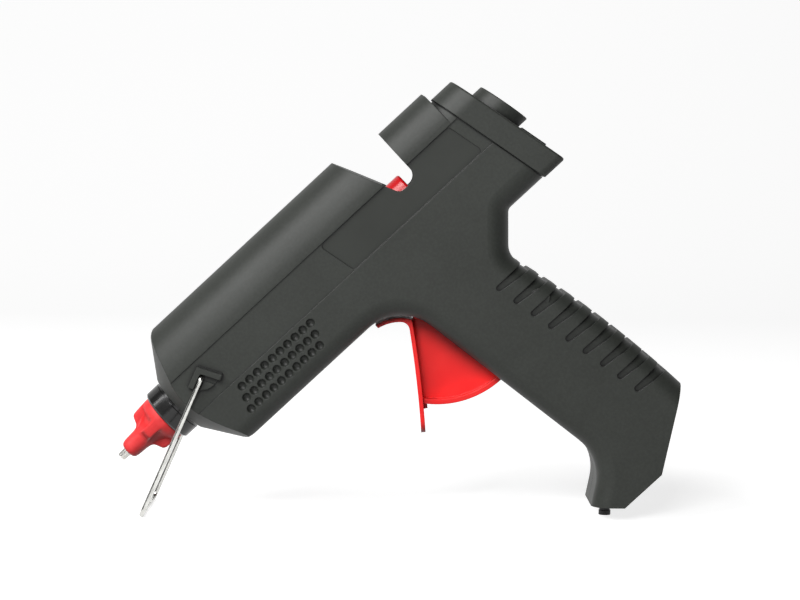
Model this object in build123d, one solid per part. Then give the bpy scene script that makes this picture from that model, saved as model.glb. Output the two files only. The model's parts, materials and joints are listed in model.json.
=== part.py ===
from build123d import *
from math import atan2, cos, degrees, radians, sin, tan
import os

os.makedirs("parts", exist_ok=True)

# A hot glue gun for 11.2 mm sticks, in millimetres.
# Every piece is modelled lying level: X runs along the barrel from the nozzle's tip to the rear,
# Y runs across the gun, and Z is up with the barrel's axis at Z = 0.
# The whole gun is then tilted nose down onto its wire stand and the foot of its handle.

TILT = 43.4                      # the barrel's slope when the gun stands on its wire stand
GAP = 0.3                        # clearance between moving pieces

# Casing
HALF_WIDTH = 18.0
WALL = 2.2
BARREL_TOP = 26.7
BARREL_BOTTOM = -26.4
FRONT_X = 29.9                   # front face of the casing
FRONT_RADIUS = 12.4              # radius of the front face
CONE_SLOPE = 0.70                # run along X for each millimetre of radius
CONE_ROUND = 5.0
NOSE_ROUND = 10.5                # rounding across the cone's lower corner
FRONT_BORE = 9.0
BOTTOM_EDGE = 6.5                # rounding along the barrel's underside and the grip's front
BACK_EDGE = 8.0                  # rounding along the grip's back

# Rear end, raked like the band that closes it
RAKE = 12.8
RAKE_RUN = tan(radians(RAKE))
REAR_X = 177.0                   # rear end of the casing halves on the barrel's axis
BAND_LENGTH = 10.1
BAND_TOP = 18.15
BAND_BOTTOM = -29.0
BAND_PROUD = 0.7
BAND_BOTTOM_PROUD = 0.3
SPIGOT_LENGTH = 4.0
BAND_GROOVE = 0.5
BAND_GROOVE_DEPTH = 0.45
HUMP_TOP = 22.8
HUMP_REAR_X = 172.2
BUSH_RADIUS, BUSH_PROUD = 10.0, 5.0
BUSH_TUBE_RADIUS, BUSH_BORE = 7.6, 6.1
BUSH_KEY_RADIUS = 7.9            # corners of its eight-sided front end, which keeps it from turning

# Notch in the top where the feed carriage and the stick show
NOTCH_FRONT_X = 130.9            # where its front slope meets the barrel's top
NOTCH_SLOPE = 65.4
NOTCH_FLOOR = 1.9
NOTCH_REAR_X = 150.6

# Grip outline
GRIP_FRONT_X = 115.2             # where the grip's front line meets the barrel's underside
ARCH_RADIUS = 17.6
TOE_RADIUS = 17.0
TOE_CORNER = (130.6, -118.6)
TOE_END = (105.0, -136.7)
GRIP_BACK_LOW = (170.7, -128.0)
GRIP_BACK_MID = (165.5, -83.0)
GRIP_BACK_HIGH = (155.4, -41.6)
NECK_TOP = (166.9, BAND_BOTTOM)
NECK_RADIUS = 7.2
FOOT_BACK = (170.0, -118.1)      # corners of the three flat faces under the grip
FOOT_LOW_BACK = (142.5, -137.1)
FOOT_LOW_FRONT = (124.4, -137.1)
FOOT_TOE = (114.5, -127.8)

# Surface detail
PANEL_TOP, PANEL_BOTTOM, PANEL_DEPTH = 7.7, -7.4, 0.35
LABEL_FRONT_X, LABEL_REAR_X, LABEL_DEPTH = 109.6, 172.6, 0.35
DIMPLE_START = (53.1, -10.5)
DIMPLE_STEP = 3.74
DIMPLE_ROW_STEP = (-1.55, -4.1)
DIMPLE_COLUMNS, DIMPLE_ROWS = 10, 3
DIMPLE_RADIUS, DIMPLE_DEPTH = 1.62, 1.15
GRIP_GROOVES = 9
GRIP_GROOVE_START = (144.0, -47.4)
GRIP_GROOVE_STEP = (1.51, -7.56)
GRIP_GROOVE_WIDTH, GRIP_GROOVE_DEPTH = 2.4, 0.9
GRIP_GROOVE_FLARE = 0.055        # widening to each side for each millimetre along a groove
GRIP_GROOVE_REACH = 24.0
GRIP_GROOVE_FALL = 4.0           # slope of the grooves below the barrel's direction, in degrees
SEAM_DEPTH = 0.4
SEAM_HALF = 0.12                 # half width of the line where the two halves meet

# Trigger
PIVOT = (123.0, -38.6)
PIVOT_PIN_RADIUS = 2.0
TRIGGER_TRAVEL = 30.0
RIM_RADIUS = 34.9
PAD_TIP = (87.9, -68.2)          # lower end of the pad's front face
PAD_THICK = 1.6
PAD_HOLLOW = 0.5                 # sag of the pad's gently curved face
PAD_HALF = 8.5
WEB_HALF = 1.3
RIM_HALF = 5.8
RIM_THICK = 1.8
ROOT_FILLET = 1.8
PAD_ROUND = 3.2                  # where the pad's face turns into the finger rest
ARM_INNER, ARM_OUTER = 7.6, 9.5
SLOT_HALF = 6.4

# Feed carriage
STICK_RADIUS = 5.6
ARM_HEIGHT = 24.0                # from the trigger's pivot up to the carriage's pin
CARRIAGE_STROKE = 2 * ARM_HEIGHT * tan(radians(TRIGGER_TRAVEL / 2))
JAW_PIN_X = PIVOT[0] + CARRIAGE_STROKE / 2
JAW_PIN_Z = PIVOT[1] + ARM_HEIGHT
JAW_PIN_RADIUS = 1.5
CARRIAGE_REAR_X = 145.9
CARRIAGE_FRONT_X = 113.0
CARRIAGE_RADIUS = 7.1
WING_HALF, WING_LOW, WING_HIGH = 12.5, -6.5, -4.5

# Stand
STAND_PIVOT = (44.8, 1.7)
STAND_ANGLE = 203.3              # direction of the legs from the pivot when deployed
STAND_FOLD = 96.0
WIRE_RADIUS = 0.8
LEG_Y = 20.0
STAND_BEND = 3.0
STAND_PIVOT_BEND = 1.6

# Nozzle, chamber and inlet
NOZZLE_BORE = 0.9
COLLAR_RADIUS = 10.6
CHAMBER_RADIUS = 8.5
CHAMBER_REAR_X = 90.0
RING_FRONT_X, RING_REAR_X, RING_WIDTH, RING_RADIUS = 35.0, 80.5, 3.0, 13.0

# Cord gland, square to the face it comes out of
GLAND_RADIUS, GLAND_BORE, GLAND_OUT = 2.2, 1.5, 5.2
GLAND_FLANGE = 2.9
GLAND_KEY_HALF = 2.3             # half width of its square waist in the casing's wall
GLAND_PLACE = 0.59               # how far along the foot's front face, from its toe

SCREWS = [(62.0, 19.0), (112.0, 19.0), (163.0, 13.0), (163.0, -21.8), (71.0, -20.8), (153.5, -60.0),
          (150.0, -119.0)]
SCREW_HEAD, SCREW_SHANK, BOSS_RADIUS = 2.7, 1.25, 3.5
SCREW_SEAT_Y = 10.0              # where the screw heads sit, measured from the parting plane


def rod_y(x, z, radius, y0, y1):
    """A round bar along Y between y0 and y1."""
    return Pos(x, (y0 + y1) / 2, z) * Rot(90, 0, 0) * Cylinder(radius, y1 - y0)


def rod_x(radius, x0, x1, z=0.0, y=0.0):
    """A round bar along X between x0 and x1."""
    return Pos((x0 + x1) / 2, y, z) * Rot(0, 90, 0) * Cylinder(radius, x1 - x0)


def octagon_x(radius, x0, x1):
    """An eight-sided bar along X between x0 and x1, radius to its corners."""
    return Pos(x0, 0, 0) * Rot(0, 90, 0) * extrude(RegularPolygon(radius, 8), amount=x1 - x0)


def block(x0, x1, y0, y1, z0, z1):
    """A box between two corners."""
    return Pos((x0 + x1) / 2, (y0 + y1) / 2, (z0 + z1) / 2) * Box(x1 - x0, y1 - y0, z1 - z0)


def prism(points, y0, y1):
    """An XZ outline pushed along Y from y0 to y1."""
    face = make_face(Polyline([(x, y0, z) for x, z in points], close=True))
    return extrude(face, amount=y1 - y0, dir=(0, 1, 0))


def turned(points):
    """An outline of (x, radius) points turned about the barrel's axis."""
    face = make_face(Polyline([(x, 0, r) for x, r in points], close=True))
    return revolve(face, Axis.X, 360)


def rotated(point, angle):
    """An XZ direction turned by angle, counter-clockwise seen from the gun's left."""
    a = radians(angle)
    return (point[0] * cos(a) - point[1] * sin(a), point[0] * sin(a) + point[1] * cos(a))


def rake_x(x_on_axis, z):
    """X of a raked plane at height z."""
    return x_on_axis - z * RAKE_RUN


def both_sides(solid):
    """A solid and its mirror image across the parting plane."""
    return solid + mirror(solid, Plane.XZ)


# ---------------------------------------------------------------- casing

def casing_outline(inset):
    """Side outline of the barrel and grip, run on past the foot's faces, which are cut later."""
    line = Polyline([
        (FRONT_X, BARREL_TOP + 10), (FRONT_X, BARREL_BOTTOM), (GRIP_FRONT_X, BARREL_BOTTOM),
        TOE_CORNER, TOE_END, (TOE_END[0], -150.0), (GRIP_BACK_LOW[0], -150.0), GRIP_BACK_LOW,
    ])
    back = ThreePointArc(GRIP_BACK_LOW, GRIP_BACK_MID, GRIP_BACK_HIGH)
    rest = Polyline([
        GRIP_BACK_HIGH, NECK_TOP, (rake_x(REAR_X, BAND_BOTTOM), BAND_BOTTOM),
        (rake_x(REAR_X, BARREL_TOP + 10), BARREL_TOP + 10), (FRONT_X, BARREL_TOP + 10),
    ])
    face = make_face(line + back + rest)
    rounds = [((GRIP_FRONT_X, BARREL_BOTTOM), ARCH_RADIUS), (TOE_CORNER, TOE_RADIUS),
              (GRIP_BACK_HIGH, NECK_RADIUS), (NECK_TOP, 2.9)]
    for corner, radius in rounds:
        vertex = face.vertices().sort_by_distance((corner[0], corner[1], 0))[0]
        face = fillet(vertex, radius)
    if inset:
        face = offset(face, -inset, kind=Kind.INTERSECTION)
    return face


def long_section(half_width, top, radius, x0, x1):
    """A bar along X with flat sides and a rounded top."""
    low = -160.0
    face = Pos(0, (top + low) / 2) * Rectangle(2 * half_width, top - low)
    corners = face.vertices().group_by(Axis.Y)[-1]
    face = fillet(corners, radius)
    return extrude(Plane(origin=(x0, 0, 0), x_dir=(0, 1, 0), z_dir=(1, 0, 0)) * face, amount=x1 - x0)


def foot_cut(inset):
    """Everything below the three flat faces of the foot."""
    def moved(p, q):
        length = ((q[0] - p[0]) ** 2 + (q[1] - p[1]) ** 2) ** 0.5
        nx, nz = (p[1] - q[1]) / length, (q[0] - p[0]) / length
        if nz < 0:
            nx, nz = -nx, -nz
        return (p[0] + nx * inset, p[1] + nz * inset), (q[0] + nx * inset, q[1] + nz * inset)

    solids = []
    for p, q in ((FOOT_TOE, FOOT_LOW_FRONT), (FOOT_LOW_FRONT, FOOT_LOW_BACK), (FOOT_LOW_BACK, FOOT_BACK)):
        (px, pz), (qx, qz) = moved(p, q)
        dx, dz = qx - px, qz - pz
        a, b = (px - 2 * dx, pz - 2 * dz), (qx + 2 * dx, qz + 2 * dz)
        n = (dz, -dx)
        scale = 80 / (n[0] ** 2 + n[1] ** 2) ** 0.5
        shift = (n[0] * scale, n[1] * scale)
        solids.append(prism([a, b, (b[0] + shift[0], b[1] + shift[1]), (a[0] + shift[0], a[1] + shift[1])],
                            -40, 40))
    return solids[0] + solids[1] + solids[2]


def nose_cut(inset):
    """Everything ahead of the cone that carries the front face, eased where it meets the barrel's top."""
    shift = inset * (1 + CONE_SLOPE ** 2) ** 0.5
    tip_x = FRONT_X + shift - FRONT_RADIUS * CONE_SLOPE
    limit = BARREL_TOP + 0.2 - inset
    wide = 2 * HALF_WIDTH

    def profile(radius, run_on):
        corner_x = tip_x + radius * CONE_SLOPE
        points = [(tip_x - 1, 0.001), (tip_x, 0.001), (corner_x, radius), (corner_x + run_on, radius),
                  (corner_x + run_on, 60), (0, 60), (0, 0.001)]
        return make_face(Polyline(points, close=True)), (corner_x, radius, 0)

    upper, corner = profile(limit, 30)
    upper = fillet(upper.vertices().sort_by_distance(corner)[0], CONE_ROUND)
    lower, corner = profile(wide, 1)
    above = revolve(Plane.XZ * upper, Axis.X, 360) & block(-10, 90, -60, 60, 0, 70)
    below = revolve(Plane.XZ * lower, Axis.X, 360) & block(-10, 90, -60, 60, -70, 0)
    return above + below


def nose_corner():
    """Sliver that rounds the cone's lower corner straight across."""
    corner_x = FRONT_X + (-BARREL_BOTTOM - FRONT_RADIUS) * CONE_SLOPE
    slope = atan2(1.0, CONE_SLOPE)
    reach = NOSE_ROUND * tan(slope / 2)
    low = (corner_x + reach, BARREL_BOTTOM)
    high = (corner_x - reach * cos(slope), BARREL_BOTTOM + reach * sin(slope))
    centre = (low[0], BARREL_BOTTOM + NOSE_ROUND)
    turn = radians(270) - slope / 2
    middle = (centre[0] + NOSE_ROUND * cos(turn), centre[1] + NOSE_ROUND * sin(turn))
    outside_x, below = corner_x - 4, BARREL_BOTTOM - 2
    line = Polyline([low, (low[0], below), (outside_x, below), (outside_x, high[1]), high])
    face = make_face(line + ThreePointArc(high, middle, low))
    return extrude(Plane.XZ * face, amount=40, both=True)


def casing_form(inset):
    """The casing as one solid, every face moved inwards by inset."""
    half = HALF_WIDTH - inset
    side = extrude(Plane.XZ * casing_outline(inset), amount=half, both=True)
    edges = side.edges().filter_by(lambda e: abs(abs((e @ 0.5).Y) - half) < 0.01)
    front_chain = []
    for e in edges:
        p = e @ 0.5
        ahead = abs(p.X - FRONT_X - inset) < 0.1 or (p.X < TOE_END[0] + inset + 0.2 and p.Z < -120)
        if ahead or p.Z > BARREL_BOTTOM + inset + 0.5 or p.Z < -140:
            continue
        if abs(p.Z - BARREL_BOTTOM - inset) < 0.1 or p.X < 132:
            front_chain.append(e)
    side = fillet(front_chain, BOTTOM_EDGE - inset)
    edges = side.edges().filter_by(lambda e: abs(abs((e @ 0.5).Y) - half) < 0.01)
    back_chain = []
    for e in edges:
        p = e @ 0.5
        below = BARREL_BOTTOM - 1 > p.Z > -140
        if below and p.X > 134 and p.X < rake_x(REAR_X, p.Z) - 3:
            back_chain.append(e)
    side = fillet(back_chain, BACK_EDGE - inset)
    barrel = long_section(half, BARREL_TOP - inset, half - 0.02, 0, NOTCH_REAR_X - 2)
    hump = long_section(half, HUMP_TOP - inset, 13.5 - inset, NOTCH_REAR_X - 2, HUMP_REAR_X - inset)
    tail = long_section(half, BAND_TOP - inset, 10.5 - inset, HUMP_REAR_X - inset, 230)
    form = (side & (barrel + hump + tail)) - foot_cut(inset) - nose_cut(inset)
    return form


def notch_points():
    """Outline of the notch's opening, front slope first."""
    run = 1 / tan(radians(NOTCH_SLOPE))
    top = BARREL_TOP + 10
    floor_x = NOTCH_FRONT_X + (BARREL_TOP - NOTCH_FLOOR) * run
    return [(NOTCH_FRONT_X - (top - BARREL_TOP) * run, top), (floor_x, NOTCH_FLOOR),
            (NOTCH_REAR_X, NOTCH_FLOOR), (NOTCH_REAR_X, top)]


def notch_cut():
    """The notch itself, with rounded lower corners and an eased front lip."""
    face = make_face(Polyline(notch_points(), close=True))
    low = face.vertices().group_by(Axis.Y)[0].sort_by(Axis.X)
    face = fillet(low[0], 3.0)
    low = face.vertices().sort_by_distance((NOTCH_REAR_X, NOTCH_FLOOR, 0))[0]
    face = fillet(low, 4.0)
    return extrude(Plane.XZ * face, amount=40, both=True)


def notch_walls():
    """Solid left standing in front of and behind the notch when the casing is hollowed."""
    run = 1 / tan(radians(NOTCH_SLOPE))
    wide = WALL / sin(radians(NOTCH_SLOPE))
    front_low = 8.4
    x_low = NOTCH_FRONT_X + (BARREL_TOP - front_low) * run
    front = prism([(x_low - wide, front_low), (x_low + 3, front_low), (NOTCH_FRONT_X + 3, BARREL_TOP),
                   (NOTCH_FRONT_X - wide, BARREL_TOP)], -40, 40)
    rear = block(NOTCH_REAR_X, NOTCH_REAR_X + WALL, -40, 40, -12, BARREL_TOP)
    return front + rear


def side_panels():
    """Shallow level panel along both flanks, with a smooth label field let into it."""
    depth = HALF_WIDTH - PANEL_DEPTH
    long_panel = block(FRONT_X - 5, 220, depth, 40, PANEL_BOTTOM, PANEL_TOP)
    lean = RAKE_RUN
    label = prism([(LABEL_FRONT_X - PANEL_TOP * lean, PANEL_TOP - 0.15),
                   (LABEL_FRONT_X - PANEL_BOTTOM * lean, PANEL_BOTTOM + 0.15),
                   (LABEL_REAR_X - PANEL_BOTTOM * lean, PANEL_BOTTOM + 0.15),
                   (LABEL_REAR_X - PANEL_TOP * lean, PANEL_TOP - 0.15)], depth - LABEL_DEPTH, 40)
    label = fillet(label.edges().filter_by(Axis.Y), 1.6)
    return both_sides(long_panel + label)


def dimples():
    """Rows of round grip dimples on both flanks of the barrel."""
    ball = (DIMPLE_RADIUS ** 2 + DIMPLE_DEPTH ** 2) / (2 * DIMPLE_DEPTH)
    centre_y = HALF_WIDTH - DIMPLE_DEPTH + ball
    spots = []
    for row in range(DIMPLE_ROWS):
        for column in range(DIMPLE_COLUMNS):
            x = DIMPLE_START[0] + row * DIMPLE_ROW_STEP[0] + column * DIMPLE_STEP
            z = DIMPLE_START[1] + row * DIMPLE_ROW_STEP[1]
            spots += [Pos(x, side * centre_y, z) * Sphere(ball) for side in (-1, 1)]
    return spots


def grip_grooves(skin):
    """Flared grooves round the grip's back, as deep as the skin they are cut from."""
    half = GRIP_GROOVE_WIDTH / 2
    wide = half + GRIP_GROOVE_FLARE * GRIP_GROOVE_REACH
    cutter = None
    for i in range(GRIP_GROOVES):
        x = GRIP_GROOVE_START[0] + i * GRIP_GROOVE_STEP[0] + half
        z = GRIP_GROOVE_START[1] + i * GRIP_GROOVE_STEP[1]
        outline = []
        for along, across in ((0, -half), (GRIP_GROOVE_REACH, -wide), (GRIP_GROOVE_REACH, wide), (0, half)):
            dx, dz = rotated((along, across), -GRIP_GROOVE_FALL)
            outline.append((x + dx, z + dz))
        bar = prism(outline, -40, 40) + rod_y(x, z, half, -40, 40)
        cutter = bar if cutter is None else cutter + bar
    return cutter & skin


def stand_boss():
    """Raised pivot boss on the left flank: a D-shaped pad with two wire rests and a stop fence."""
    base = HALF_WIDTH - PANEL_DEPTH - 0.5
    x, z = STAND_PIVOT
    along = rotated((1, 0), STAND_ANGLE)
    fold = rotated((1, 0), STAND_ANGLE + STAND_FOLD)

    def at(a, b):
        return (x + a * along[0] + b * fold[0], z + a * along[1] + b * fold[1])

    fence_in, fence_out = -(WIRE_RADIUS + 0.15), -(WIRE_RADIUS + 2.3)
    pad = [at(-3.4, -3.2), at(5.0, -3.2), at(4.8, 1.4), at(3.6, 3.6), at(1.2, 5.2), at(-3.4, 6.4)]
    fence = [at(fence_out, fence_out), at(5.0, fence_out), at(5.0, fence_in), at(fence_in, fence_in),
             at(fence_in, 6.4), at(fence_out, 6.4)]
    solid = prism(pad, base, HALF_WIDTH + 0.75) + prism(fence, base, HALF_WIDTH + 2.1)
    rests = prism([at(0, -1.1), at(8, -1.1), at(8, 1.1), at(0, 1.1)], HALF_WIDTH + 0.1, 40)
    rests += prism([at(-1.1, 0), at(1.1, 0), at(1.1, 8), at(-1.1, 8)], HALF_WIDTH + 0.1, 40)
    rests += rod_y(x, z, 1.1, HALF_WIDTH + 0.1, 40)
    return mirror(solid - rests, Plane.XZ) + (solid - rests)


def trigger_slot():
    """Slot in the arch and the grip's front that the trigger's web swings through."""
    swing = rod_y(PIVOT[0], PIVOT[1], RIM_RADIUS + 0.9, -SLOT_HALF, SLOT_HALF)
    return swing & block(107.5, 132, -20, 20, -90, -22)


def ribs_and_bosses():
    """Everything moulded on the inside of both halves, before it is trimmed to the casing."""
    inside = HALF_WIDTH - 1.0
    parts = [rod_y(x, z, BOSS_RADIUS, -inside, inside) for x, z in SCREWS]
    for x in (RING_FRONT_X, RING_REAR_X):
        rib = block(x, x + RING_WIDTH, -inside, inside, -25.5, 25.5)
        parts.append(rib - rod_x(RING_RADIUS + 0.05, x - 1, x + RING_WIDTH + 1))
    for side in (-1, 1):
        y0, y1 = sorted((side * 10.2, side * inside))
        parts.append(rod_y(PIVOT[0], PIVOT[1], 4.4, y0, y1))
        for z0, z1 in ((WING_LOW - GAP - 1.5, WING_LOW - GAP), (WING_HIGH + GAP, WING_HIGH + GAP + 1.5)):
            parts.append(block(97, NOTCH_REAR_X + 1, y0, y1, z0, z1))
        y0, y1 = sorted((side * 12.6, side * inside))
        parts.append(rod_y(STAND_PIVOT[0], STAND_PIVOT[1], 2.6, y0, y1))
    parts.append(block(91.5, 93.5, -inside, inside, -26, -11.5))
    parts.append(rod_x(1.7, 93, 97.5, z=-17.5))
    return parts


def casing():
    """Both casing halves as one hollow solid."""
    outer = casing_form(0) - nose_corner()
    inner = casing_form(WALL) - notch_walls()
    shell = outer - inner - notch_cut()
    shell -= band_form(REAR_X - SPIGOT_LENGTH, REAR_X + 3, -WALL, BACK_EDGE - WALL)
    shell -= side_panels()
    for spot in dimples():
        shell -= spot
    shell -= grip_grooves(outer - casing_form(GRIP_GROOVE_DEPTH))
    shell -= block(-20, 260, -SEAM_HALF, SEAM_HALF, -200, 80) & (outer - casing_form(SEAM_DEPTH))
    shell += stand_boss()
    shell -= trigger_slot()
    for feature in ribs_and_bosses():
        shell += feature & outer
    shell -= rod_x(FRONT_BORE, FRONT_X - 2, FRONT_X + 4)
    shell -= octagon_x(BUSH_KEY_RADIUS + 0.1, NOTCH_REAR_X - 1, NOTCH_REAR_X + WALL + 1)
    shell -= rod_y(PIVOT[0], PIVOT[1], PIVOT_PIN_RADIUS + 0.02, -15.2, 15.2)
    shell -= rod_y(STAND_PIVOT[0], STAND_PIVOT[1], WIRE_RADIUS + 0.08, -30, 30)
    shell -= gland_seat()
    shell -= both_sides(block(79, 95, 8.8, 14.3, -17.4, -12.2))
    for x, z in SCREWS:
        shell -= rod_y(x, z, SCREW_SHANK + 0.03, -8.5, 30)
        shell -= rod_y(x, z, SCREW_HEAD + 0.2, SCREW_SEAT_Y, 30)
    return shell


def half_of(shell, side):
    """One casing half: side -1 is the left one, +1 the right one."""
    keep = block(-20, 260, -60, 0, -200, 80) if side < 0 else block(-20, 260, 0, 60, -200, 80)
    return shell & keep


# ---------------------------------------------------------------- rear end

def band_form(x_front, x_rear, proud, bottom_chamfer):
    """A raked slice of the tail's section between two raked planes."""
    half = HALF_WIDTH + proud
    low, high = BAND_BOTTOM - min(proud, BAND_BOTTOM_PROUD), BAND_TOP + proud
    side = prism([(rake_x(x_front, low), low), (rake_x(x_rear, low), low),
                  (rake_x(x_rear, high + 5), high + 5), (rake_x(x_front, high + 5), high + 5)], -half, half)
    bar = long_section(half, high, 10.5 + proud, 150, 230)
    slab = side & bar
    low_edges = [e for e in slab.edges()
                 if abs(abs((e @ 0.5).Y) - half) < 0.01 and abs((e @ 0.5).Z - low) < 0.01]
    return fillet(low_edges, bottom_chamfer)


def rear_band():
    """Thick closing band with a spigot inside the casing, a shadow groove and a bore for the port."""
    outer_x = REAR_X + BAND_LENGTH
    band = band_form(REAR_X + BAND_GROOVE, outer_x, BAND_PROUD, 3.0)
    rim = [e for e in band.edges() if (e @ 0.5).X > rake_x(outer_x, (e @ 0.5).Z) - 0.01]
    band = fillet(rim, 0.8)
    neck = band_form(REAR_X + 0.02, REAR_X + 2, -BAND_GROOVE_DEPTH, BACK_EDGE - 1)
    spigot = band_form(REAR_X - SPIGOT_LENGTH, REAR_X + 2, -WALL - 0.1, BACK_EDGE - WALL)
    spigot -= band_form(REAR_X - SPIGOT_LENGTH - 1, REAR_X - 1, -WALL - 1.9, BACK_EDGE - WALL - 1.8)
    pad_z = -16.2
    pad_x = rake_x(outer_x, pad_z)
    pad = Pos(pad_x, 0, pad_z) * Rot(0, -RAKE, 0) * Box(1.8, 17, 10.6)
    solid = band + neck + spigot + pad
    return solid - rod_x(8.0, 150, 230)


def stick_port_bush():
    """Guide tube with a collar that the stick is pushed in through."""
    band_rear = REAR_X + BAND_LENGTH
    collar = rod_x(BUSH_RADIUS, 160, 220)
    slab = prism([(rake_x(band_rear + 0.05, -20), -20), (rake_x(band_rear + BUSH_PROUD, -20), -20),
                  (rake_x(band_rear + BUSH_PROUD, 20), 20), (rake_x(band_rear + 0.05, 20), 20)], -20, 20)
    collar &= slab
    rim = [e for e in collar.edges() if (e @ 0.5).X > rake_x(band_rear + BUSH_PROUD, (e @ 0.5).Z) - 0.05]
    collar = fillet(rim, 0.4)
    key_end = NOTCH_REAR_X + WALL + 0.1
    tube = rod_x(BUSH_TUBE_RADIUS, key_end, band_rear + 1)
    tube += octagon_x(BUSH_KEY_RADIUS, NOTCH_REAR_X + 0.1, key_end)
    bore = rod_x(BUSH_BORE, 140, 220)
    mouth = Pos(band_rear + 3.0, 0, 0) * Rot(0, 90, 0) * Cone(BUSH_BORE, 8.0, 5.0)
    return collar + tube - bore - mouth


# ---------------------------------------------------------------- hot end

def front_collar():
    """Gloss black collar that holds the nozzle's root in the casing."""
    profile = [(22.5, 7.3), (22.5, 9.9), (23.2, COLLAR_RADIUS), (28.4, COLLAR_RADIUS), (28.4, 9.9),
               (FRONT_X - 0.05, 9.9), (FRONT_X - 0.05, FRONT_BORE - 0.1), (33.6, FRONT_BORE - 0.1),
               (33.6, 8.6), (24.6, 8.6), (24.6, 7.3)]
    return turned(profile)


def nozzle():
    """Steel nozzle: bare tip, ribbed root under the sleeve, and a chamber for the valve."""
    outer = [(0, NOZZLE_BORE), (0, 1.45), (0.4, 1.6), (8, 1.9), (8.4, 3.1), (19, 3.6), (19, 4.9), (24.5, 4.9),
             (24.5, 4.2), (29, 4.2)]
    inner = [(29, 1.6), (18.9, 1.6), (18.9, 2.45), (8.9, 2.45), (7.4, NOZZLE_BORE)]
    return turned(outer + inner)


def nozzle_sleeve():
    """Red silicone sleeve with a round body and a wide flange against the collar."""
    outer = [(3.3, 2.0), (3.5, 3.0), (4.4, 3.6), (9.8, 4.0), (13.0, 5.2), (14.4, 7.8), (15.4, 8.6),
             (19.4, 9.2), (22.3, 9.2)]
    inner = [(22.3, 5.05), (18.85, 5.05), (18.85, 3.75), (8.25, 3.25), (7.95, 2.05), (5.0, 1.95)]
    return turned(outer + inner)


def valve_ball():
    return Pos(15.6, 0, 0) * Sphere(2.1)


def valve_retainer():
    """Seat ring pressed into the nozzle behind the ball."""
    return turned([(17.3, 1.3), (17.3, 2.4), (18.85, 2.4), (18.85, 1.1), (17.6, 1.1)])


def coil(radius, wire, x0, x1, turns, z=0.0):
    """A coil spring along X, with flat closed ends left off."""
    pitch = (x1 - x0 - 2 * wire) / turns
    path = Helix(pitch, x1 - x0 - 2 * wire, radius)
    start = path @ 0
    section = Plane(origin=start, z_dir=path % 0) * Circle(wire)
    spring = sweep(section, path=path)
    return Pos(x0 + wire, 0, z) * Rot(0, 90, 0) * spring


def melting_chamber():
    """Cast chamber with a tapered bore and a pocket for the heater underneath."""
    outer = [(24.8, 4.3), (24.8, 7.2), (33, 7.2), (33, CHAMBER_RADIUS), (CHAMBER_REAR_X, CHAMBER_RADIUS)]
    inner = [(CHAMBER_REAR_X, 6.0), (70, 5.8), (40, 3.4), (29.2, 2.2), (29.2, 4.3)]
    body = turned(outer + inner)
    pocket = block(42, 66, -7.5, 7.5, -17.8, -5.0) - rod_x(8.0, 40, 70)
    pocket -= block(41, 67, -5.6, 5.6, -15.8, -11.2)
    fins = None
    for x in (46, 52, 58, 64):
        ring = turned([(x, 8.3), (x, 9.6), (x + 1.6, 9.6), (x + 1.6, 8.3)])
        fins = ring if fins is None else fins + ring
    return body + pocket + fins


def heater_plate():
    """Ceramic heater between its two contact plates."""
    return block(43, 65, -5.4, 5.4, -15.0, -12.0)


def heater_contacts():
    """Sheet contacts above and below the heater, each with a tag for its wire."""
    upper = block(43, 68.5, -4.8, 4.8, -11.9, -11.4) - block(66.2, 70, -1.2, 10, -13, -10)
    lower = block(43, 68.5, -4.8, 4.8, -15.6, -15.1) - block(66.2, 70, -10, 1.2, -17, -14)
    return [upper, lower]


def heater_clip():
    """Spring clip round the pocket that presses the heater flat."""
    outer = block(51, 57, -8.9, 8.9, -19.0, -7.6)
    return outer - block(50, 58, -8.0, 8.0, -18.1, -3)


def thermal_cutout():
    """Thermal cut-out in its glass sleeve, lying along the chamber."""
    return rod_x(1.9, 68.0, 79.0, z=-8.2, y=8.0)


def chamber_ring(x):
    """Insulating ring between the chamber and a casing rib."""
    return rod_x(RING_RADIUS, x + 0.05, x + RING_WIDTH - 0.05) - rod_x(CHAMBER_RADIUS + 0.03, x - 1, x + 5)


def inlet_sleeve():
    """Silicone sleeve that leads the stick into the chamber."""
    outer = [(84.6, 10.0), (94, 10.0), (98.4, 8.2)]
    inner = [(98.4, 6.0), (96, 5.8), (90.1, 5.9), (90.1, CHAMBER_RADIUS + 0.05)]
    return turned([(84.6, CHAMBER_RADIUS + 0.05)] + outer + inner)


def inlet_clamp():
    """Wire clamp round the sleeve, with two finger ears on top."""
    ring = turned([(86.6, 10.05), (86.6, 11.1), (88.4, 11.1), (88.4, 10.05)])
    ears = block(86.6, 88.4, -3.2, -2.2, 9.5, 15.0) + block(86.6, 88.4, 2.2, 3.2, 9.5, 15.0)
    return (ring - block(85, 90, -1.6, 1.6, 0, 20)) + (ears - rod_x(10.05, 80, 95))


# ---------------------------------------------------------------- feed

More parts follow.
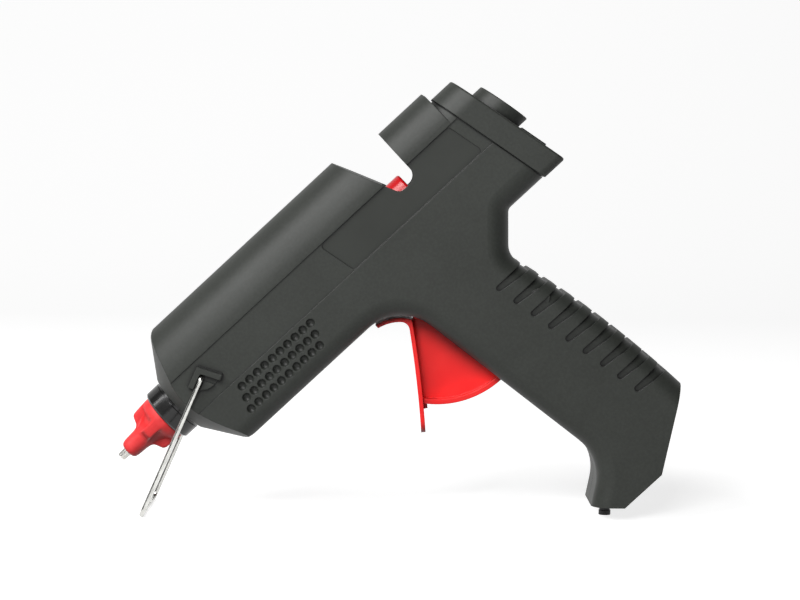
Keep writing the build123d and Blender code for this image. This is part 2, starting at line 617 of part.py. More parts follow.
def feed_carriage():
    """Sliding carriage: a guide ring round the stick, wings in the rails, cheeks for the jaw's pin."""
    ring = rod_x(CARRIAGE_RADIUS, CARRIAGE_FRONT_X, CARRIAGE_REAR_X)
    wings = block(CARRIAGE_FRONT_X + 2, CARRIAGE_REAR_X - 3, -WING_HALF, WING_HALF, WING_LOW, WING_HIGH)
    cheeks = block(JAW_PIN_X - 7.5, JAW_PIN_X + 7.5, -7.3, 7.3, JAW_PIN_Z - 3.6, -3)
    lug = block(CARRIAGE_FRONT_X + 4.0, CARRIAGE_FRONT_X + 8.4, -5.0, 5.0, -20.8, -4)
    body = ring + wings + cheeks + lug
    body -= rod_x(STICK_RADIUS + 0.35, 100, 160)
    body -= block(JAW_PIN_X - 6.4, JAW_PIN_X + 9, -5.6, 5.6, -25, -3)
    body -= rod_x(1.5, CARRIAGE_FRONT_X + 3.5, CARRIAGE_FRONT_X + 7.2, z=-17.5)
    body -= rod_y(JAW_PIN_X, JAW_PIN_Z, JAW_PIN_RADIUS + 0.02, -20, 20)
    rims = [e for e in body.edges().filter_by(GeomType.CIRCLE)
            if abs((e @ 0.5).X - CARRIAGE_REAR_X) < 0.01 and e.radius > STICK_RADIUS + 1]
    return fillet(rims, 1.0)


def grip_jaw():
    """Toothed jaw on the carriage's pin that bites the stick from below."""
    body = rod_y(JAW_PIN_X, JAW_PIN_Z, 3.0, -5.2, 2.9)
    body += block(JAW_PIN_X - 3.0, JAW_PIN_X + 3.2, -5.2, 2.9, JAW_PIN_Z, -7.0)
    body += block(JAW_PIN_X + 1, JAW_PIN_X + 6.2, -2.4, 2.4, JAW_PIN_Z - 2.4, JAW_PIN_Z + 0.4)
    for i in range(3):
        x = JAW_PIN_X - 3.0 + i * 2.0
        body += prism([(x, -7.05), (x + 2.0, -7.05), (x + 0.5, -6.05)], -3.2, 2.9)
    return body - rod_y(JAW_PIN_X, JAW_PIN_Z, JAW_PIN_RADIUS + 0.05, -10, 10)


def jaw_spring():
    """Small torsion coil on the jaw's pin, between the jaw and one cheek."""
    spring = coil(1.9, 0.22, 0, 2.3, 4)
    return Pos(JAW_PIN_X, 3.1, JAW_PIN_Z) * Rot(0, 0, 90) * spring


def jaw_pin():
    """Pin through cheeks and jaw, long enough for the trigger's arms to push on."""
    return rod_y(JAW_PIN_X, JAW_PIN_Z, JAW_PIN_RADIUS, -9.9, 9.9)


def hook_arc(radius, first, middle, last):
    """Three points round the arch's centre, for the finger rest that curls forward under the arch."""
    centre = (GRIP_FRONT_X - 15.4, BARREL_BOTTOM - ARCH_RADIUS)
    return [(centre[0] + radius * cos(radians(a)), centre[1] + radius * sin(radians(a)))
            for a in (first, middle, last)]


def pad_outline():
    """Side outline of the trigger's pad with its finger rest, and both ends of the pad's back."""
    outer = hook_arc(ARCH_RADIUS - 0.8, 80, 58, 36)
    inner = hook_arc(ARCH_RADIUS - 2.3, 79, 58, 36)
    down = (PAD_TIP[0] - inner[2][0], PAD_TIP[1] - inner[2][1])
    length = (down[0] ** 2 + down[1] ** 2) ** 0.5
    across = (-down[1] / length, down[0] / length)
    middle = (inner[2][0] + down[0] / 2 + across[0] * PAD_HOLLOW,
              inner[2][1] + down[1] / 2 + across[1] * PAD_HOLLOW)
    tip_back = (PAD_TIP[0] + across[0] * PAD_THICK, PAD_TIP[1] + across[1] * PAD_THICK)
    back_middle = (middle[0] + across[0] * PAD_THICK, middle[1] + across[1] * PAD_THICK)
    back_top = (outer[2][0] + 0.4, outer[2][1] - 1.0)
    line = (Polyline([outer[0], inner[0]]) + ThreePointArc(*inner)
            + ThreePointArc(inner[2], middle, PAD_TIP)
            + Polyline([PAD_TIP, tip_back]) + ThreePointArc(tip_back, back_middle, back_top)
            + Polyline([back_top, outer[2]]) + ThreePointArc(outer[2], outer[1], outer[0]))
    face = make_face(line)
    turn = face.vertices().sort_by_distance((inner[2][0], inner[2][1], 0))[0]
    return fillet(turn, PAD_ROUND), tip_back, back_top


def root_fillet(low, high):
    """Hollow rounding where the web meets the back of the pad, from low to high along the pad."""
    r = ROOT_FILLET
    run = Vector(high[0] - low[0], 0, high[1] - low[1])
    start = Vector(low[0], 0, low[1]) + run * 0.2
    plane = Plane(origin=start, x_dir=(0, 1, 0), z_dir=run.normalized())
    if plane.y_dir.X < 0:
        plane = Plane(origin=start, x_dir=(0, -1, 0), z_dir=run.normalized())
    half = WEB_HALF + r
    bar = Pos(0, r / 2 - 0.2) * Rectangle(2 * half, r + 0.4)
    bar -= Pos(half, r) * Circle(r) + Pos(-half, r) * Circle(r)
    return extrude(plane * bar, amount=run.length * 0.78)


def trigger():
    """Trigger: curved pad, web, sector rim, hub and the two arms that drive the carriage."""
    outline, tip_back, back_top = pad_outline()
    pad = extrude(Plane.XZ * outline, amount=PAD_HALF, both=True)
    tip_edges = [e for e in pad.edges() if (e @ 0.5).Z < PAD_TIP[1] + 3 and e.length < 3
                 and abs(abs((e @ 0.5).Y) - PAD_HALF) < 0.01]
    pad = fillet(tip_edges, 5.0)
    px, pz = PIVOT
    wedge = make_face(Polyline([back_top, tip_back, (80, -80), (130, -80), (px + 6.2, pz - RIM_RADIUS),
                                (px, pz), (px - 1.5, pz + 4)], close=True))
    sector = (Pos(px, pz) * Circle(RIM_RADIUS)) & wedge
    web = extrude(Plane.XZ * (outline + sector), amount=WEB_HALF, both=True)
    rim = extrude(Plane.XZ * sector, amount=RIM_HALF, both=True)
    rim -= rod_y(px, pz, RIM_RADIUS - RIM_THICK, -20, 20)
    blade = pad + web + rim + root_fillet(tip_back, back_top)
    hub = rod_y(px, pz, 3.5, -ARM_OUTER, ARM_OUTER) + rod_y(px, pz, 4.4, -6.0, 6.0)
    body = blade + hub + arms()
    return body - rod_y(px, pz, PIVOT_PIN_RADIUS + 0.05, -20, 20)


def arms():
    """Two slotted arms from the hub up to the carriage's pin."""
    lean = atan2(JAW_PIN_X - PIVOT[0], ARM_HEIGHT)
    reach = ARM_HEIGHT / cos(lean)
    tip_end = reach + 4.3
    half = 3.2
    bar = block(-half, half, ARM_INNER, ARM_OUTER, 0, tip_end - half)
    bar += rod_y(0, tip_end - half, half, ARM_INNER, ARM_OUTER)
    free = JAW_PIN_RADIUS + 0.14
    slot_low, slot_high = ARM_HEIGHT - 0.5, reach + 0.5
    slot = block(-free, free, 0, 20, slot_low, slot_high)
    slot += rod_y(0, slot_low, free, 0, 20) + rod_y(0, slot_high, free, 0, 20)
    arm = bar - slot
    return Pos(PIVOT[0], 0, PIVOT[1]) * Rot(0, degrees(lean), 0) * both_sides(arm)


def trigger_pin():
    return rod_y(PIVOT[0], PIVOT[1], PIVOT_PIN_RADIUS, -15.0, 15.0)


# ---------------------------------------------------------------- stand

def resting_height():
    """Height of the surface under the tilted gun: the lowest point of the gland."""
    n, c = gland_axis()
    side = (-n[1], n[0])
    corners = [(c[0] + n[0] * GLAND_OUT + s * side[0] * GLAND_RADIUS,
                c[1] + n[1] * GLAND_OUT + s * side[1] * GLAND_RADIUS) for s in (-1, 1)]
    return min(x * sin(radians(TILT)) + z * cos(radians(TILT)) for x, z in corners)


def wire_stand():
    """One bent wire: two legs, a foot bar across, and ends turned in through the casing's sides."""
    rise = STAND_PIVOT[0] * sin(radians(TILT)) + STAND_PIVOT[1] * cos(radians(TILT))
    drop = rotated((1, 0), STAND_ANGLE)
    fall = -(drop[0] * sin(radians(TILT)) + drop[1] * cos(radians(TILT)))
    leg = (rise - resting_height() - WIRE_RADIUS) / fall
    foot = (STAND_PIVOT[0] + leg * drop[0], STAND_PIVOT[1] + leg * drop[1])
    x, z = STAND_PIVOT
    points = [(x, -13.5, z), (x, -LEG_Y, z), (foot[0], -LEG_Y, foot[1]), (foot[0], LEG_Y, foot[1]),
              (x, LEG_Y, z), (x, 13.5, z)]
    path = FilletPolyline(*points, radius=[STAND_PIVOT_BEND, STAND_BEND, STAND_BEND, STAND_PIVOT_BEND])
    section = Plane(origin=points[0], z_dir=(0, -1, 0)) * Circle(WIRE_RADIUS)
    return sweep(section, path=path)


# ---------------------------------------------------------------- grip interior

def gland_axis():
    """Outward direction of the gland, and its centre on the foot's front face."""
    dx, dz = FOOT_LOW_FRONT[0] - FOOT_TOE[0], FOOT_LOW_FRONT[1] - FOOT_TOE[1]
    length = (dx * dx + dz * dz) ** 0.5
    n = (dz / length, -dx / length)
    c = (FOOT_TOE[0] + GLAND_PLACE * dx, FOOT_TOE[1] + GLAND_PLACE * dz)
    return n, c


def gland_bar(section, back, out):
    """A section pushed along the gland's axis from back mm inside the face to out mm outside it."""
    n, c = gland_axis()
    plane = Plane(origin=(c[0] - n[0] * back, 0, c[1] - n[1] * back), z_dir=(n[0], 0, n[1]))
    return extrude(plane * section, amount=back + out)


def gland_rod(radius, back, out):
    """A round bar on the gland's axis."""
    return gland_bar(Circle(radius), back, out)


def gland_seat():
    """Square hole in the casing's wall, so that the gland can't turn."""
    side = 2 * (GLAND_KEY_HALF + 0.05)
    return gland_bar(Rectangle(side, side), 6, 6)


def cord_gland():
    """Bushing for the mains lead, flanged inside, square in the wall and ringed outside."""
    body = gland_rod(GLAND_RADIUS, 6.0, GLAND_OUT) + gland_rod(GLAND_FLANGE, 5.0, -WALL - 0.05)
    body += gland_bar(Rectangle(2 * GLAND_KEY_HALF, 2 * GLAND_KEY_HALF), WALL + 0.05, 0.1)
    groove = gland_rod(GLAND_RADIUS + 1, -GLAND_OUT * 0.55, GLAND_OUT * 0.68)
    groove -= gland_rod(GLAND_RADIUS - 0.25, 6, 6)
    return body - groove - gland_rod(GLAND_BORE, 10, 10)


def cord_clamp():
    """Bar that clamps the lead where it enters the grip."""
    bar = block(130.0, 138.0, -9.0, 9.0, -124.6, -122.2)
    for y in (-6.5, 6.5):
        bar -= Pos(134.0, y, -123.4) * Cylinder(1.3, 10)
    return bar


def terminal_block():
    """Two-way screw terminal block."""
    body = block(144.0, 160.0, -7.6, 7.6, -100.5, -90.5)
    for x in (147.8, 156.2):
        body -= Pos(x, 0, -95.5) * Cylinder(2.4, 10.1)
        body += Pos(x, 0, -95.5) * (Cylinder(2.4, 10.0) - Cylinder(1.6, 10.2))
    body -= block(151.4, 152.6, -8, 8, -92, -90)
    return body


def terminal_screws():
    """Brass screws in the terminal block."""
    screws = []
    for x in (147.8, 156.2):
        screw = Pos(x, 0, -92.3) * Cylinder(1.5, 3.0) - block(x - 2, x + 2, -0.25, 0.25, -91.5, -90)
        screws.append(screw)
    return screws


def heater_wires():
    """Two insulated wires from the heater's tags down to the terminal block."""
    runs = [
        [(68.8, 3.0, -11.65), (73.0, 6.0, -13.5), (84.0, 12.6, -15.5), (118.0, 12.9, -14.6),
         (139.0, 12.6, -24.0), (141.0, 12.4, -58.0), (147.0, 6.0, -84.0), (147.8, 3.0, -89.9)],
        [(68.8, -3.0, -15.35), (73.0, -6.0, -15.9), (84.0, -12.6, -15.5), (118.0, -12.9, -14.6),
         (139.0, -12.6, -24.0), (144.0, -12.4, -58.0), (155.0, -6.0, -84.0), (156.2, -3.0, -89.9)],
    ]
    wires = []
    for points in runs:
        path = FilletPolyline(*points, radius=3.0)
        direction = Vector(*points[1]) - Vector(*points[0])
        section = Plane(origin=points[0], z_dir=direction) * Circle(0.8)
        wires.append(sweep(section, path=path))
    return wires


def housing_screws():
    """Pan-head screws that hold the right half to the left one."""
    screws = []
    for x, z in SCREWS:
        screw = rod_y(x, z, SCREW_SHANK, -8.0, SCREW_SEAT_Y + 0.5)
        screw += rod_y(x, z, SCREW_HEAD, SCREW_SEAT_Y + 0.02, SCREW_SEAT_Y + 2.2)
        screw -= block(x - 0.35, x + 0.35, SCREW_SEAT_Y + 1.2, SCREW_SEAT_Y + 3, z - 1.9, z + 1.9)
        screw -= block(x - 1.9, x + 1.9, SCREW_SEAT_Y + 1.2, SCREW_SEAT_Y + 3, z - 0.35, z + 0.35)
        screws.append(screw)
    return screws


def build():
    """Every node in the level frame, by name."""
    shell = casing()
    return {
        "housing_left": half_of(shell, -1),
        "housing_right": half_of(shell, 1),
        "rear_band": rear_band(),
        "stick_port_bush": stick_port_bush(),
        "front_collar": front_collar(),
        "nozzle": nozzle(),
        "nozzle_sleeve": nozzle_sleeve(),
        "valve_ball": valve_ball(),
        "valve_spring": coil(1.9, 0.25, 9.0, 13.7, 4),
        "valve_retainer": valve_retainer(),
        "melting_chamber": melting_chamber(),
        "heater_plate": heater_plate(),
        "heater_contacts": heater_contacts(),
        "heater_clip": heater_clip(),
        "thermal_cutout": thermal_cutout(),
        "chamber_ring_front": chamber_ring(RING_FRONT_X),
        "chamber_ring_rear": chamber_ring(RING_REAR_X),
        "inlet_sleeve": inlet_sleeve(),
        "inlet_clamp": inlet_clamp(),
        "feed_carriage": feed_carriage(),
        "grip_jaw": grip_jaw(),
        "jaw_pin": jaw_pin(),
        "jaw_spring": jaw_spring(),
        "trigger": trigger(),
        "trigger_pin": trigger_pin(),
        "return_spring": coil(2.8, 0.45, 93.8, CARRIAGE_FRONT_X + 3.7, 8, z=-17.5),
        "wire_stand": wire_stand(),
        "cord_gland": cord_gland(),
        "cord_clamp": cord_clamp(),
        "terminal_block": terminal_block(),
        "terminal_screws": terminal_screws(),
        "heater_wires": heater_wires(),
        "housing_screws": housing_screws(),
    }


def placed(nodes):
    """Tilt every node onto the stand and set the origin under the middle of the gun's box."""
    tilted = {}
    for name, shape in nodes.items():
        solids = [s for piece in (shape if isinstance(shape, list) else [shape]) for s in piece.solids()]
        tilted[name] = Rot(0, -TILT, 0) * (solids[0] if len(solids) == 1 else Compound(solids))
    boxes = [shape.bounding_box() for shape in tilted.values()]
    shift = Pos(-(min(b.min.X for b in boxes) + max(b.max.X for b in boxes)) / 2,
                -(min(b.min.Y for b in boxes) + max(b.max.Y for b in boxes)) / 2,
                -min(b.min.Z for b in boxes))
    return {name: shift * shape for name, shape in tilted.items()}


for node, shape in placed(build()).items():
    export_step(shape, f"parts/{node}.step")
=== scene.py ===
import json
import math

import bpy
from mathutils import Matrix, Vector


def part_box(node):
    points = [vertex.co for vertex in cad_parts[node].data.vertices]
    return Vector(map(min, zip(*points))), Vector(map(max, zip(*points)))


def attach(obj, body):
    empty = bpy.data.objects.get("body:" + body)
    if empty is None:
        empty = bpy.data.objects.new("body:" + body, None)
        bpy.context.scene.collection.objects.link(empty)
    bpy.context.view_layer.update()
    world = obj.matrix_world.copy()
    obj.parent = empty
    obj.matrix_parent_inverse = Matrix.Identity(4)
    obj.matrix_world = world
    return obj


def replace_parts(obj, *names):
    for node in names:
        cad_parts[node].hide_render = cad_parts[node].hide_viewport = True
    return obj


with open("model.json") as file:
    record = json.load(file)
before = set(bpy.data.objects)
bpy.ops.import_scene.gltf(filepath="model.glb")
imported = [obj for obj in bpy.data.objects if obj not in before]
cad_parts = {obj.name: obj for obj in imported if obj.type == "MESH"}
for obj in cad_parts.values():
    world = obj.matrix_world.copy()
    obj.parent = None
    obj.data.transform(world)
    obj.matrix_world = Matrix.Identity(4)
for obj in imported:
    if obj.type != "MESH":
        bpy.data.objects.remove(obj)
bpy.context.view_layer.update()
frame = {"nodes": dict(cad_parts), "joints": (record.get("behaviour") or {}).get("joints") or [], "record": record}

# ---------------------------------------------------------------- places
# The gun is described lying level: x runs back along the barrel from the nozzle's tip, y across, z up, in
# millimetres. level() turns such a place into the row frame, where the gun stands nose down on its stand.

JOINTS = {joint["name"]: joint for joint in frame["joints"]}
BACK = -Vector(JOINTS["carriage_slide"]["axis"])          # towards the rear, along the barrel
UP = Vector((-BACK.z, 0.0, BACK.x))                       # square to the barrel, away from the grip
TILT = math.atan2(BACK.z, BACK.x)
MM = 0.001

BALL_X = 15.6                                             # the valve ball's place on the barrel's axis
RAKE = math.radians(12.8)                                 # lean of the label field's ends
LABEL_FRONT, LABEL_REAR = 109.6, 172.6                    # label field's ends, measured on the barrel's axis
LABEL_LOW, LABEL_HIGH = -7.3, 7.6
LABEL_INNER, LABEL_OUTER = 16.8, 17.45                    # distances from the middle that hold its sunk face
ball_low, ball_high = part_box("valve_ball")
ORIGIN = (ball_low + ball_high) / 2 - BACK * (BALL_X * MM)


def level(x, y, z):
    """A level place in millimetres, in the row frame in metres."""
    return ORIGIN + BACK * (x * MM) + Vector((0, 1, 0)) * (y * MM) + UP * (z * MM)


# ---------------------------------------------------------------- materials

class Nodes:
    """Short names for building one material's node tree."""

    def __init__(self, name):
        self.material = bpy.data.materials.new(name)
        self.material.use_nodes = True
        self.tree = self.material.node_tree
        self.shader = self.tree.nodes["Principled BSDF"]

    def add(self, kind, inputs=None, **settings):
        node = self.tree.nodes.new(kind)
        for key, value in settings.items():
            setattr(node, key, value)
        for key, value in (inputs or {}).items():
            self.put(node.inputs[key], value)
        return node

    def put(self, socket, value):
        if isinstance(value, bpy.types.NodeSocket):
            self.tree.links.new(value, socket)
        else:
            socket.default_value = value

    def set(self, **values):
        for key, value in values.items():
            self.put(self.shader.inputs[key.replace("_", " ")], value)

    def level_place(self):
        """Object coordinates turned so that X runs along the barrel, in metres from the nozzle's tip."""
        place = self.add("ShaderNodeTexCoord").outputs["Object"]
        mapping = self.add("ShaderNodeMapping", {"Vector": place}, vector_type="TEXTURE")
        mapping.inputs["Location"].default_value = ORIGIN
        mapping.inputs["Rotation"].default_value = (0, -TILT, 0)
        return mapping.outputs["Vector"]

    def noise(self, place, scale, detail=2.0, roughness=0.5):
        node = self.add("ShaderNodeTexNoise", {"Vector": place, "Scale": scale, "Detail": detail,
                                               "Roughness": roughness})
        return node.outputs["Fac"]

    def ramp(self, value, low, high, out_low=0.0, out_high=1.0):
        node = self.add("ShaderNodeMapRange", {"Value": value, "From Min": low, "From Max": high,
                                               "To Min": out_low, "To Max": out_high})
        return node.outputs["Result"]

    def maths(self, operation, a, b=0.0):
        node = self.add("ShaderNodeMath", operation=operation)
        self.put(node.inputs[0], a)
        self.put(node.inputs[1], b)
        return node.outputs[0]

    def between(self, value, low, high):
        """1 where the value lies between two limits, else 0."""
        above = self.maths("GREATER_THAN", value, low)
        below = self.maths("LESS_THAN", value, high)
        return self.maths("MULTIPLY", above, below)

    def colours(self, factor, dark, light):
        node = self.add("ShaderNodeMix", data_type="RGBA")
        self.put(node.inputs["Factor"], factor)
        node.inputs[6].default_value = (*dark, 1)
        node.inputs[7].default_value = (*light, 1)
        return node.outputs[2]

    def bump(self, height, distance, strength=1.0, normal=None):
        node = self.add("ShaderNodeBump", {"Height": height, "Distance": distance, "Strength": strength})
        if normal is not None:
            self.put(node.inputs["Normal"], normal)
        return node.outputs["Normal"]

    def painted_crevice_shade(self, reach, darkest):
        """Painted shade: a factor that is 1 in the open, falling to darkest deep in grooves and corners, to darken
        colour there.
        """
        node = self.add("ShaderNodeAmbientOcclusion", {"Distance": reach}, samples=6)
        return self.ramp(node.outputs["AO"], 0.5, 0.97, darkest, 1.0)

    def shaded(self, colour, factor):
        """A colour multiplied by a factor."""
        node = self.add("ShaderNodeVectorMath", {"Scale": factor}, operation="SCALE")
        self.put(node.inputs[0], colour)
        return node.outputs["Vector"]

    def soft_edges(self, radius):
        return self.add("ShaderNodeBevel", {"Radius": radius}, samples=6).outputs["Normal"]


def moulded(name, dark, light, rough, grain=0.00035, depth=0.00003, edge=0.0003, spec=0.5):
    """Moulded plastic: slight colour drift, fine grain and eased edges."""
    n = Nodes(name)
    place = n.level_place()
    drift = n.ramp(n.noise(place, 60, 3), 0.35, 0.65)
    fine = n.noise(place, 1 / grain, 2, 0.6)
    n.set(Base_Color=n.colours(drift, dark, light),
          Roughness=n.ramp(n.noise(place, 220, 3), 0.3, 0.7, rough - 0.04, rough + 0.05),
          Normal=n.bump(fine, depth, 0.5, n.soft_edges(edge)))
    n.shader.inputs["Specular IOR Level"].default_value = spec
    return n.material


def casing_plastic():
    """Charcoal casing plastic: spark-eroded grain all over except on the smooth label field, with painted shade
    darkening its grooves, dimples and corners.
    """
    n = Nodes("casing_plastic")
    place = n.level_place()
    split = n.add("ShaderNodeSeparateXYZ", {"Vector": place})
    x, y, z = split.outputs
    along = n.maths("ADD", x, n.maths("MULTIPLY", z, math.tan(RAKE)))
    lengthwise = n.between(along, LABEL_FRONT * MM, LABEL_REAR * MM)
    upright = n.between(z, LABEL_LOW * MM, LABEL_HIGH * MM)
    sunk = n.between(n.maths("ABSOLUTE", y), LABEL_INNER * MM, LABEL_OUTER * MM)
    label = n.maths("MULTIPLY", n.maths("MULTIPLY", lengthwise, upright), sunk)
    grain = n.maths("ADD", n.noise(place, 1700, 2, 0.65), n.maths("MULTIPLY", n.noise(place, 620, 2), 0.6))
    rough_mask = n.maths("SUBTRACT", 1.0, n.maths("MULTIPLY", label, 0.93))
    height = n.maths("MULTIPLY", grain, rough_mask)
    drift = n.ramp(n.noise(place, 38, 4, 0.6), 0.3, 0.7)
    speck = n.ramp(n.noise(place, 900, 1), 0.35, 0.7, 0.0, 0.35)
    tone = n.maths("ADD", n.maths("MULTIPLY", drift, 0.5), n.maths("MULTIPLY", speck, rough_mask))
    wear = n.ramp(n.noise(place, 150, 4, 0.7), 0.62, 0.8, 0.0, 0.05)
    colour = n.colours(tone, (0.018, 0.020, 0.017), (0.030, 0.033, 0.029))
    # painted shade: the base colour is darkened deep in grooves, dimples and corners
    n.set(Base_Color=n.shaded(colour, n.painted_crevice_shade(0.002, 0.06)),
          Roughness=n.maths("SUBTRACT", n.ramp(label, 0, 1, 0.50, 0.44), wear),
          Normal=n.bump(height, 0.00006, 0.42, n.soft_edges(0.00035)))
    n.shader.inputs["Specular IOR Level"].default_value = 0.3
    return n.material


def metal(name, dark, light, rough, streak=(40, 1400, 1400), depth=0.000012):
    """Metal with fine drawn streaks along the barrel's direction and slight tarnish."""
    n = Nodes(name)
    place = n.level_place()
    stretch = n.add("ShaderNodeMapping", {"Vector": place, "Scale": streak})
    lines = n.noise(stretch.outputs["Vector"], 1.0, 3)
    tarnish = n.ramp(n.noise(place, 260, 4, 0.6), 0.35, 0.7)
    n.set(Base_Color=n.colours(tarnish, dark, light), Metallic=1.0,
          Roughness=n.ramp(lines, 0.3, 0.7, rough - 0.06, rough + 0.08),
          Normal=n.bump(lines, depth, 0.6, n.soft_edges(0.00012)))
    return n.material


def silicone(name, dark, light, rough=0.42):
    """Silicone rubber: soft sheen, faint bloom and a fine orange-peel skin."""
    n = Nodes(name)
    place = n.level_place()
    bloom = n.ramp(n.noise(place, 240, 4, 0.6), 0.4, 0.75)
    skin = n.noise(place, 1300, 2)
    n.set(Base_Color=n.colours(bloom, dark, light),
          Roughness=n.ramp(bloom, 0, 1, rough, rough + 0.12),
          Normal=n.bump(skin, 0.00002, 0.4))
    n.shader.inputs["Subsurface Weight"].default_value = 0.12
    n.shader.inputs["Subsurface Radius"].default_value = (0.003, 0.0008, 0.0006)
    n.shader.inputs["Subsurface Scale"].default_value = 0.6
    n.shader.inputs["Specular IOR Level"].default_value = 0.4
    return n.material


def braided(name):
    """Glass-braided wire cover."""
    n = Nodes(name)
    place = n.level_place()
    weave = n.add("ShaderNodeTexWave", {"Vector": place, "Scale": 420.0, "Distortion": 1.5},
                  bands_direction="DIAGONAL")
    cross = n.add("ShaderNodeTexWave", {"Vector": place, "Scale": 500.0, "Distortion": 1.5},
                  bands_direction="Z")
    both = n.maths("ADD", weave.outputs["Fac"], cross.outputs["Fac"])
    n.set(Base_Color=n.colours(both, (0.5, 0.48, 0.42), (0.8, 0.78, 0.72)), Roughness=0.75,
          Normal=n.bump(both, 0.00005, 0.5))
    return n.material


MATERIALS = {
    "casing": casing_plastic(),
    "collar": moulded("collar_plastic", (0.006, 0.006, 0.006), (0.010, 0.010, 0.010), 0.2, depth=0.000006,
                      edge=0.00025, spec=0.4),
    "gland": moulded("gland_rubber", (0.010, 0.010, 0.010), (0.018, 0.018, 0.018), 0.55),
    "trigger_red": moulded("trigger_plastic", (0.85, 0.014, 0.015), (0.92, 0.022, 0.021), 0.34,
                           depth=0.00001, edge=0.0005, spec=0.32),
    "carriage_red": moulded("carriage_plastic", (0.33, 0.003, 0.005), (0.44, 0.005, 0.008), 0.26,
                            depth=0.000006, spec=0.3),
    "sleeve": silicone("sleeve_silicone", (0.66, 0.022, 0.024), (0.76, 0.044, 0.046)),
    "silicone": silicone("inlet_silicone", (0.42, 0.08, 0.05), (0.5, 0.12, 0.08)),
    "steel": metal("turned_steel", (0.42, 0.41, 0.38), (0.6, 0.59, 0.56), 0.28),
    "wire": metal("zinc_wire", (0.46, 0.46, 0.44), (0.68, 0.68, 0.65), 0.24, streak=(90, 900, 900)),
    "aluminium": metal("cast_aluminium", (0.6, 0.61, 0.62), (0.72, 0.73, 0.74), 0.45, streak=(600, 600, 600),
                       depth=0.00004),
    "brass": metal("sheet_brass", (0.62, 0.46, 0.2), (0.78, 0.62, 0.32), 0.3),
    "ceramic": moulded("heater_ceramic", (0.74, 0.73, 0.69), (0.86, 0.85, 0.82), 0.5),
    "insulator": moulded("phenolic_board", (0.4, 0.27, 0.14), (0.55, 0.4, 0.22), 0.55, grain=0.0006),
    "clear_plastic": moulded("natural_nylon", (0.68, 0.67, 0.6), (0.8, 0.79, 0.73), 0.42),
    "glass_sleeve": braided("glass_braid"),
    "wire_cover": braided("wire_braid"),
}


def dress_nodes():
    """Give every CAD node its slot's material."""
    for entry in frame["record"]["subparts"]:
        node = frame["nodes"][entry["node"]]
        node.data.materials.clear()
        node.data.materials.append(MATERIALS[entry["material_slot"]])


# ---------------------------------------------------------------- pieces

def mesh_object(name, points, faces, slot, body):
    """A smooth mesh piece that rides on a body and takes a slot's finish."""
    mesh = bpy.data.meshes.new(name)
    mesh.from_pydata(points, [], faces)
    mesh.validate()
    obj = bpy.data.objects.new(name, mesh)
    bpy.context.scene.collection.objects.link(obj)
    mesh.materials.append(MATERIALS[slot])
    mesh.polygons.foreach_set("use_smooth", [True] * len(mesh.polygons))
    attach(obj, body)
    return obj


def smoothed(curve, count):
    """The curve resampled evenly by length and relaxed, its ends kept."""
    lengths = [0.0]
    for (x0, r0), (x1, r1) in zip(curve, curve[1:]):
        lengths.append(lengths[-1] + math.hypot(x1 - x0, r1 - r0))
    out = []
    for i in range(count):
        want = lengths[-1] * i / (count - 1)
        k = max(j for j in range(len(lengths) - 1) if lengths[j] <= want + 1e-9)
        t = (want - lengths[k]) / (lengths[k + 1] - lengths[k])
        out.append((curve[k][0] + t * (curve[k + 1][0] - curve[k][0]),
                    curve[k][1] + t * (curve[k + 1][1] - curve[k][1])))
    for _ in range(4):
        out = [out[0]] + [((a[0] + 2 * b[0] + c[0]) / 4, (a[1] + 2 * b[1] + c[1]) / 4)
                          for a, b, c in zip(out, out[1:], out[2:])] + [out[-1]]
    return out


def nozzle_sleeve():
    """Red silicone sleeve: round body, four wings and a disc against the collar."""
    wings = smoothed([(3.3, 2.1), (3.45, 2.9), (4.2, 3.5), (5.5, 3.75), (9.8, 4.0), (11.6, 4.4), (12.7, 5.5),
                      (13.4, 7.2), (13.9, 8.3), (14.7, 8.65), (17.0, 8.85), (20.5, 9.15), (22.25, 9.15)], 72)
    valleys = smoothed([(3.3, 2.1), (3.45, 2.9), (4.2, 3.5), (5.5, 3.75), (9.8, 4.0), (13.0, 4.6),
                        (16.0, 5.5), (17.8, 6.7), (18.7, 8.2), (19.6, 8.9), (20.8, 9.1), (22.25, 9.15)], 72)
    inner = [(22.25, 5.1), (18.8, 5.1), (18.8, 3.8), (8.3, 3.3), (7.9, 2.1), (5.0, 2.0), (3.6, 1.95)]
    around = 144
    wing_half, wing_flank = 2.35, 0.55
    points, faces = [], []
    for (xw, rw), (xv, rv) in zip(wings, valleys):
        for k in range(around):
            turn = 2 * math.pi * k / around
            off = abs((turn + math.pi / 4) % (math.pi / 2) - math.pi / 4)
            side = rw * math.sin(off)
            share = min(1.0, max(0.0, (wing_half + wing_flank - side) / (2 * wing_flank)))
            share = share * share * (3 - 2 * share)
            r = rv + (rw - rv) * share
            x = xv + (xw - xv) * share
            points.append(level(x, r * math.sin(turn), r * math.cos(turn)))
    for x, r in inner:
        for k in range(around):
            turn = 2 * math.pi * k / around
            points.append(level(x, r * math.sin(turn), r * math.cos(turn)))
    rings = len(wings) + len(inner)
    for ring in range(rings):
        nxt = (ring + 1) % rings
        for k in range(around):
            m = (k + 1) % around
            faces.append((ring * around + k, nxt * around + k, nxt * around + m, ring * around + m))
    obj = mesh_object("silicone_sleeve", points, faces, "sleeve", "casing")
    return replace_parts(obj, "nozzle_sleeve")


# ---------------------------------------------------------------- setting

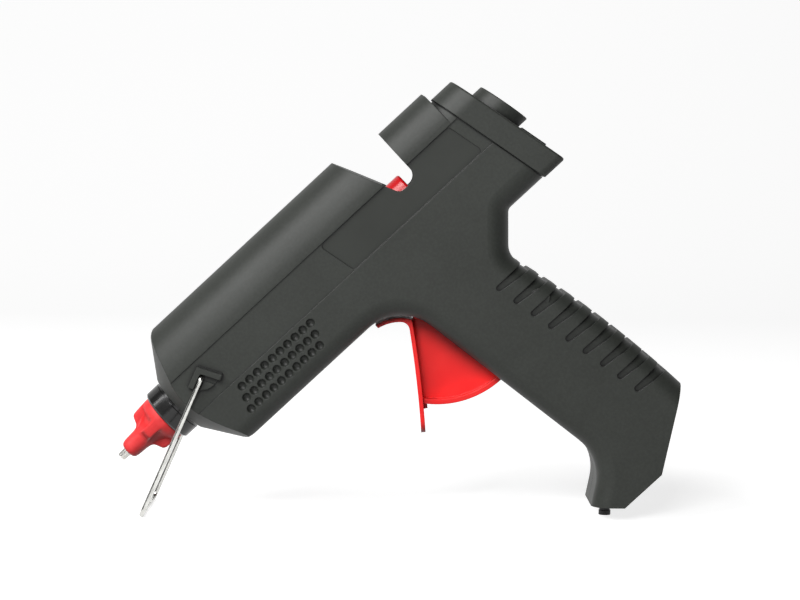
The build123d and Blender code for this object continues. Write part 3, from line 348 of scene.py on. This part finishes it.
def backdrop():
    """Pale floor that curves up into a wall behind the gun."""
    material = bpy.data.materials.new("studio_white")
    material.use_nodes = True
    shader = material.node_tree.nodes["Principled BSDF"]
    shader.inputs["Base Color"].default_value = (0.5, 0.5, 0.5, 1)
    shader.inputs["Roughness"].default_value = 0.95
    shader.inputs["Specular IOR Level"].default_value = 0.0
    shader.inputs["Emission Color"].default_value = (1, 1, 1, 1)
    shader.inputs["Emission Strength"].default_value = 0.8
    floor_front, floor_end, bend = -9.0, 0.9, 0.8
    wall_top, half_wide = 4.0, 9.0
    profile = [(floor_front, 0.0), (floor_end, 0.0)]
    profile += [(floor_end + bend * math.sin(a), bend - bend * math.cos(a))
                for a in [math.radians(9 * i) for i in range(1, 11)]]
    profile += [(floor_end + bend, wall_top)]
    points, faces = [], []
    for y, z in profile:
        points += [(-half_wide, y, z), (half_wide, y, z)]
    for i in range(len(profile) - 1):
        faces.append((2 * i, 2 * i + 1, 2 * i + 3, 2 * i + 2))
    mesh = bpy.data.meshes.new("studio_floor")
    mesh.from_pydata(points, [], faces)
    mesh.materials.append(material)
    mesh.polygons.foreach_set("use_smooth", [True] * len(mesh.polygons))
    floor = bpy.data.objects.new("studio_floor", mesh)
    bpy.context.scene.collection.objects.link(floor)
    floor.visible_diffuse = False                         # it throws no soft light back up at the gun


def sky():
    """Surrounding light: bright from the upper left, dim from the lower right."""
    world = bpy.data.worlds.new("studio_world")
    bpy.context.scene.world = world
    world.use_nodes = True
    tree = world.node_tree
    place = tree.nodes.new("ShaderNodeTexCoord")
    towards = tree.nodes.new("ShaderNodeVectorMath")
    towards.operation = "DOT_PRODUCT"
    towards.inputs[1].default_value = (-0.6, -0.1, 0.79)
    level_of = tree.nodes.new("ShaderNodeMapRange")
    level_of.inputs["From Min"].default_value = -0.6
    level_of.inputs["From Max"].default_value = 1.0
    level_of.inputs["To Min"].default_value = 0.1
    level_of.inputs["To Max"].default_value = 0.75
    tree.links.new(place.outputs["Generated"], towards.inputs[0])
    tree.links.new(towards.outputs["Value"], level_of.inputs["Value"])
    tree.links.new(level_of.outputs["Result"], tree.nodes["Background"].inputs["Strength"])


def area(name, place, aim, size, power):
    """A soft rectangular lamp aimed at a place."""
    data = bpy.data.lights.new(name, "AREA")
    data.shape = "RECTANGLE"
    data.size, data.size_y = size
    data.energy = power
    lamp = bpy.data.objects.new(name, data)
    bpy.context.scene.collection.objects.link(lamp)
    lamp.location = place
    lamp.rotation_euler = (Vector(aim) - Vector(place)).to_track_quat("-Z", "Y").to_euler()


def lights():
    """Key from the front left, and a softbox above the barrel that draws its long highlight."""
    middle = (0.0, 0.0, 0.07)
    area("key_light", (-0.28, -1.12, 0.7), middle, (0.5, 0.5), 13)
    area("top_softbox", (-0.7, -0.55, 0.85), middle, (0.6, 0.45), 13)


def camera():
    """Long lens at the gun's side, a little behind its middle and pitched slightly down."""
    distance, eye_x, eye_z = 760.85, 152.69, 13.04
    focal_pixels, picture_width = 2073.3, 800.0
    pitch, roll = 0.07221, 0.00434
    seen_tilt = math.radians(43.0)                        # the barrel's slope the view was matched at
    data = bpy.data.cameras.new("camera")
    data.sensor_width = 36.0
    data.lens = focal_pixels * data.sensor_width / picture_width
    data.clip_start, data.clip_end = 0.05, 20
    cam = bpy.data.objects.new("camera", data)
    bpy.context.scene.collection.objects.link(cam)
    turn = Matrix.Rotation(seen_tilt - TILT, 4, "Y") @ Matrix.Rotation(math.pi / 2 - pitch, 4, "X")
    turn = turn @ Matrix.Rotation(roll, 4, "Z")
    cam.matrix_world = Matrix.Translation(level(eye_x, -distance, eye_z)) @ turn
    bpy.context.scene.camera = cam


dress_nodes()
nozzle_sleeve()
backdrop()
sky()
lights()
camera()
bpy.context.scene.view_settings.view_transform = "Standard"
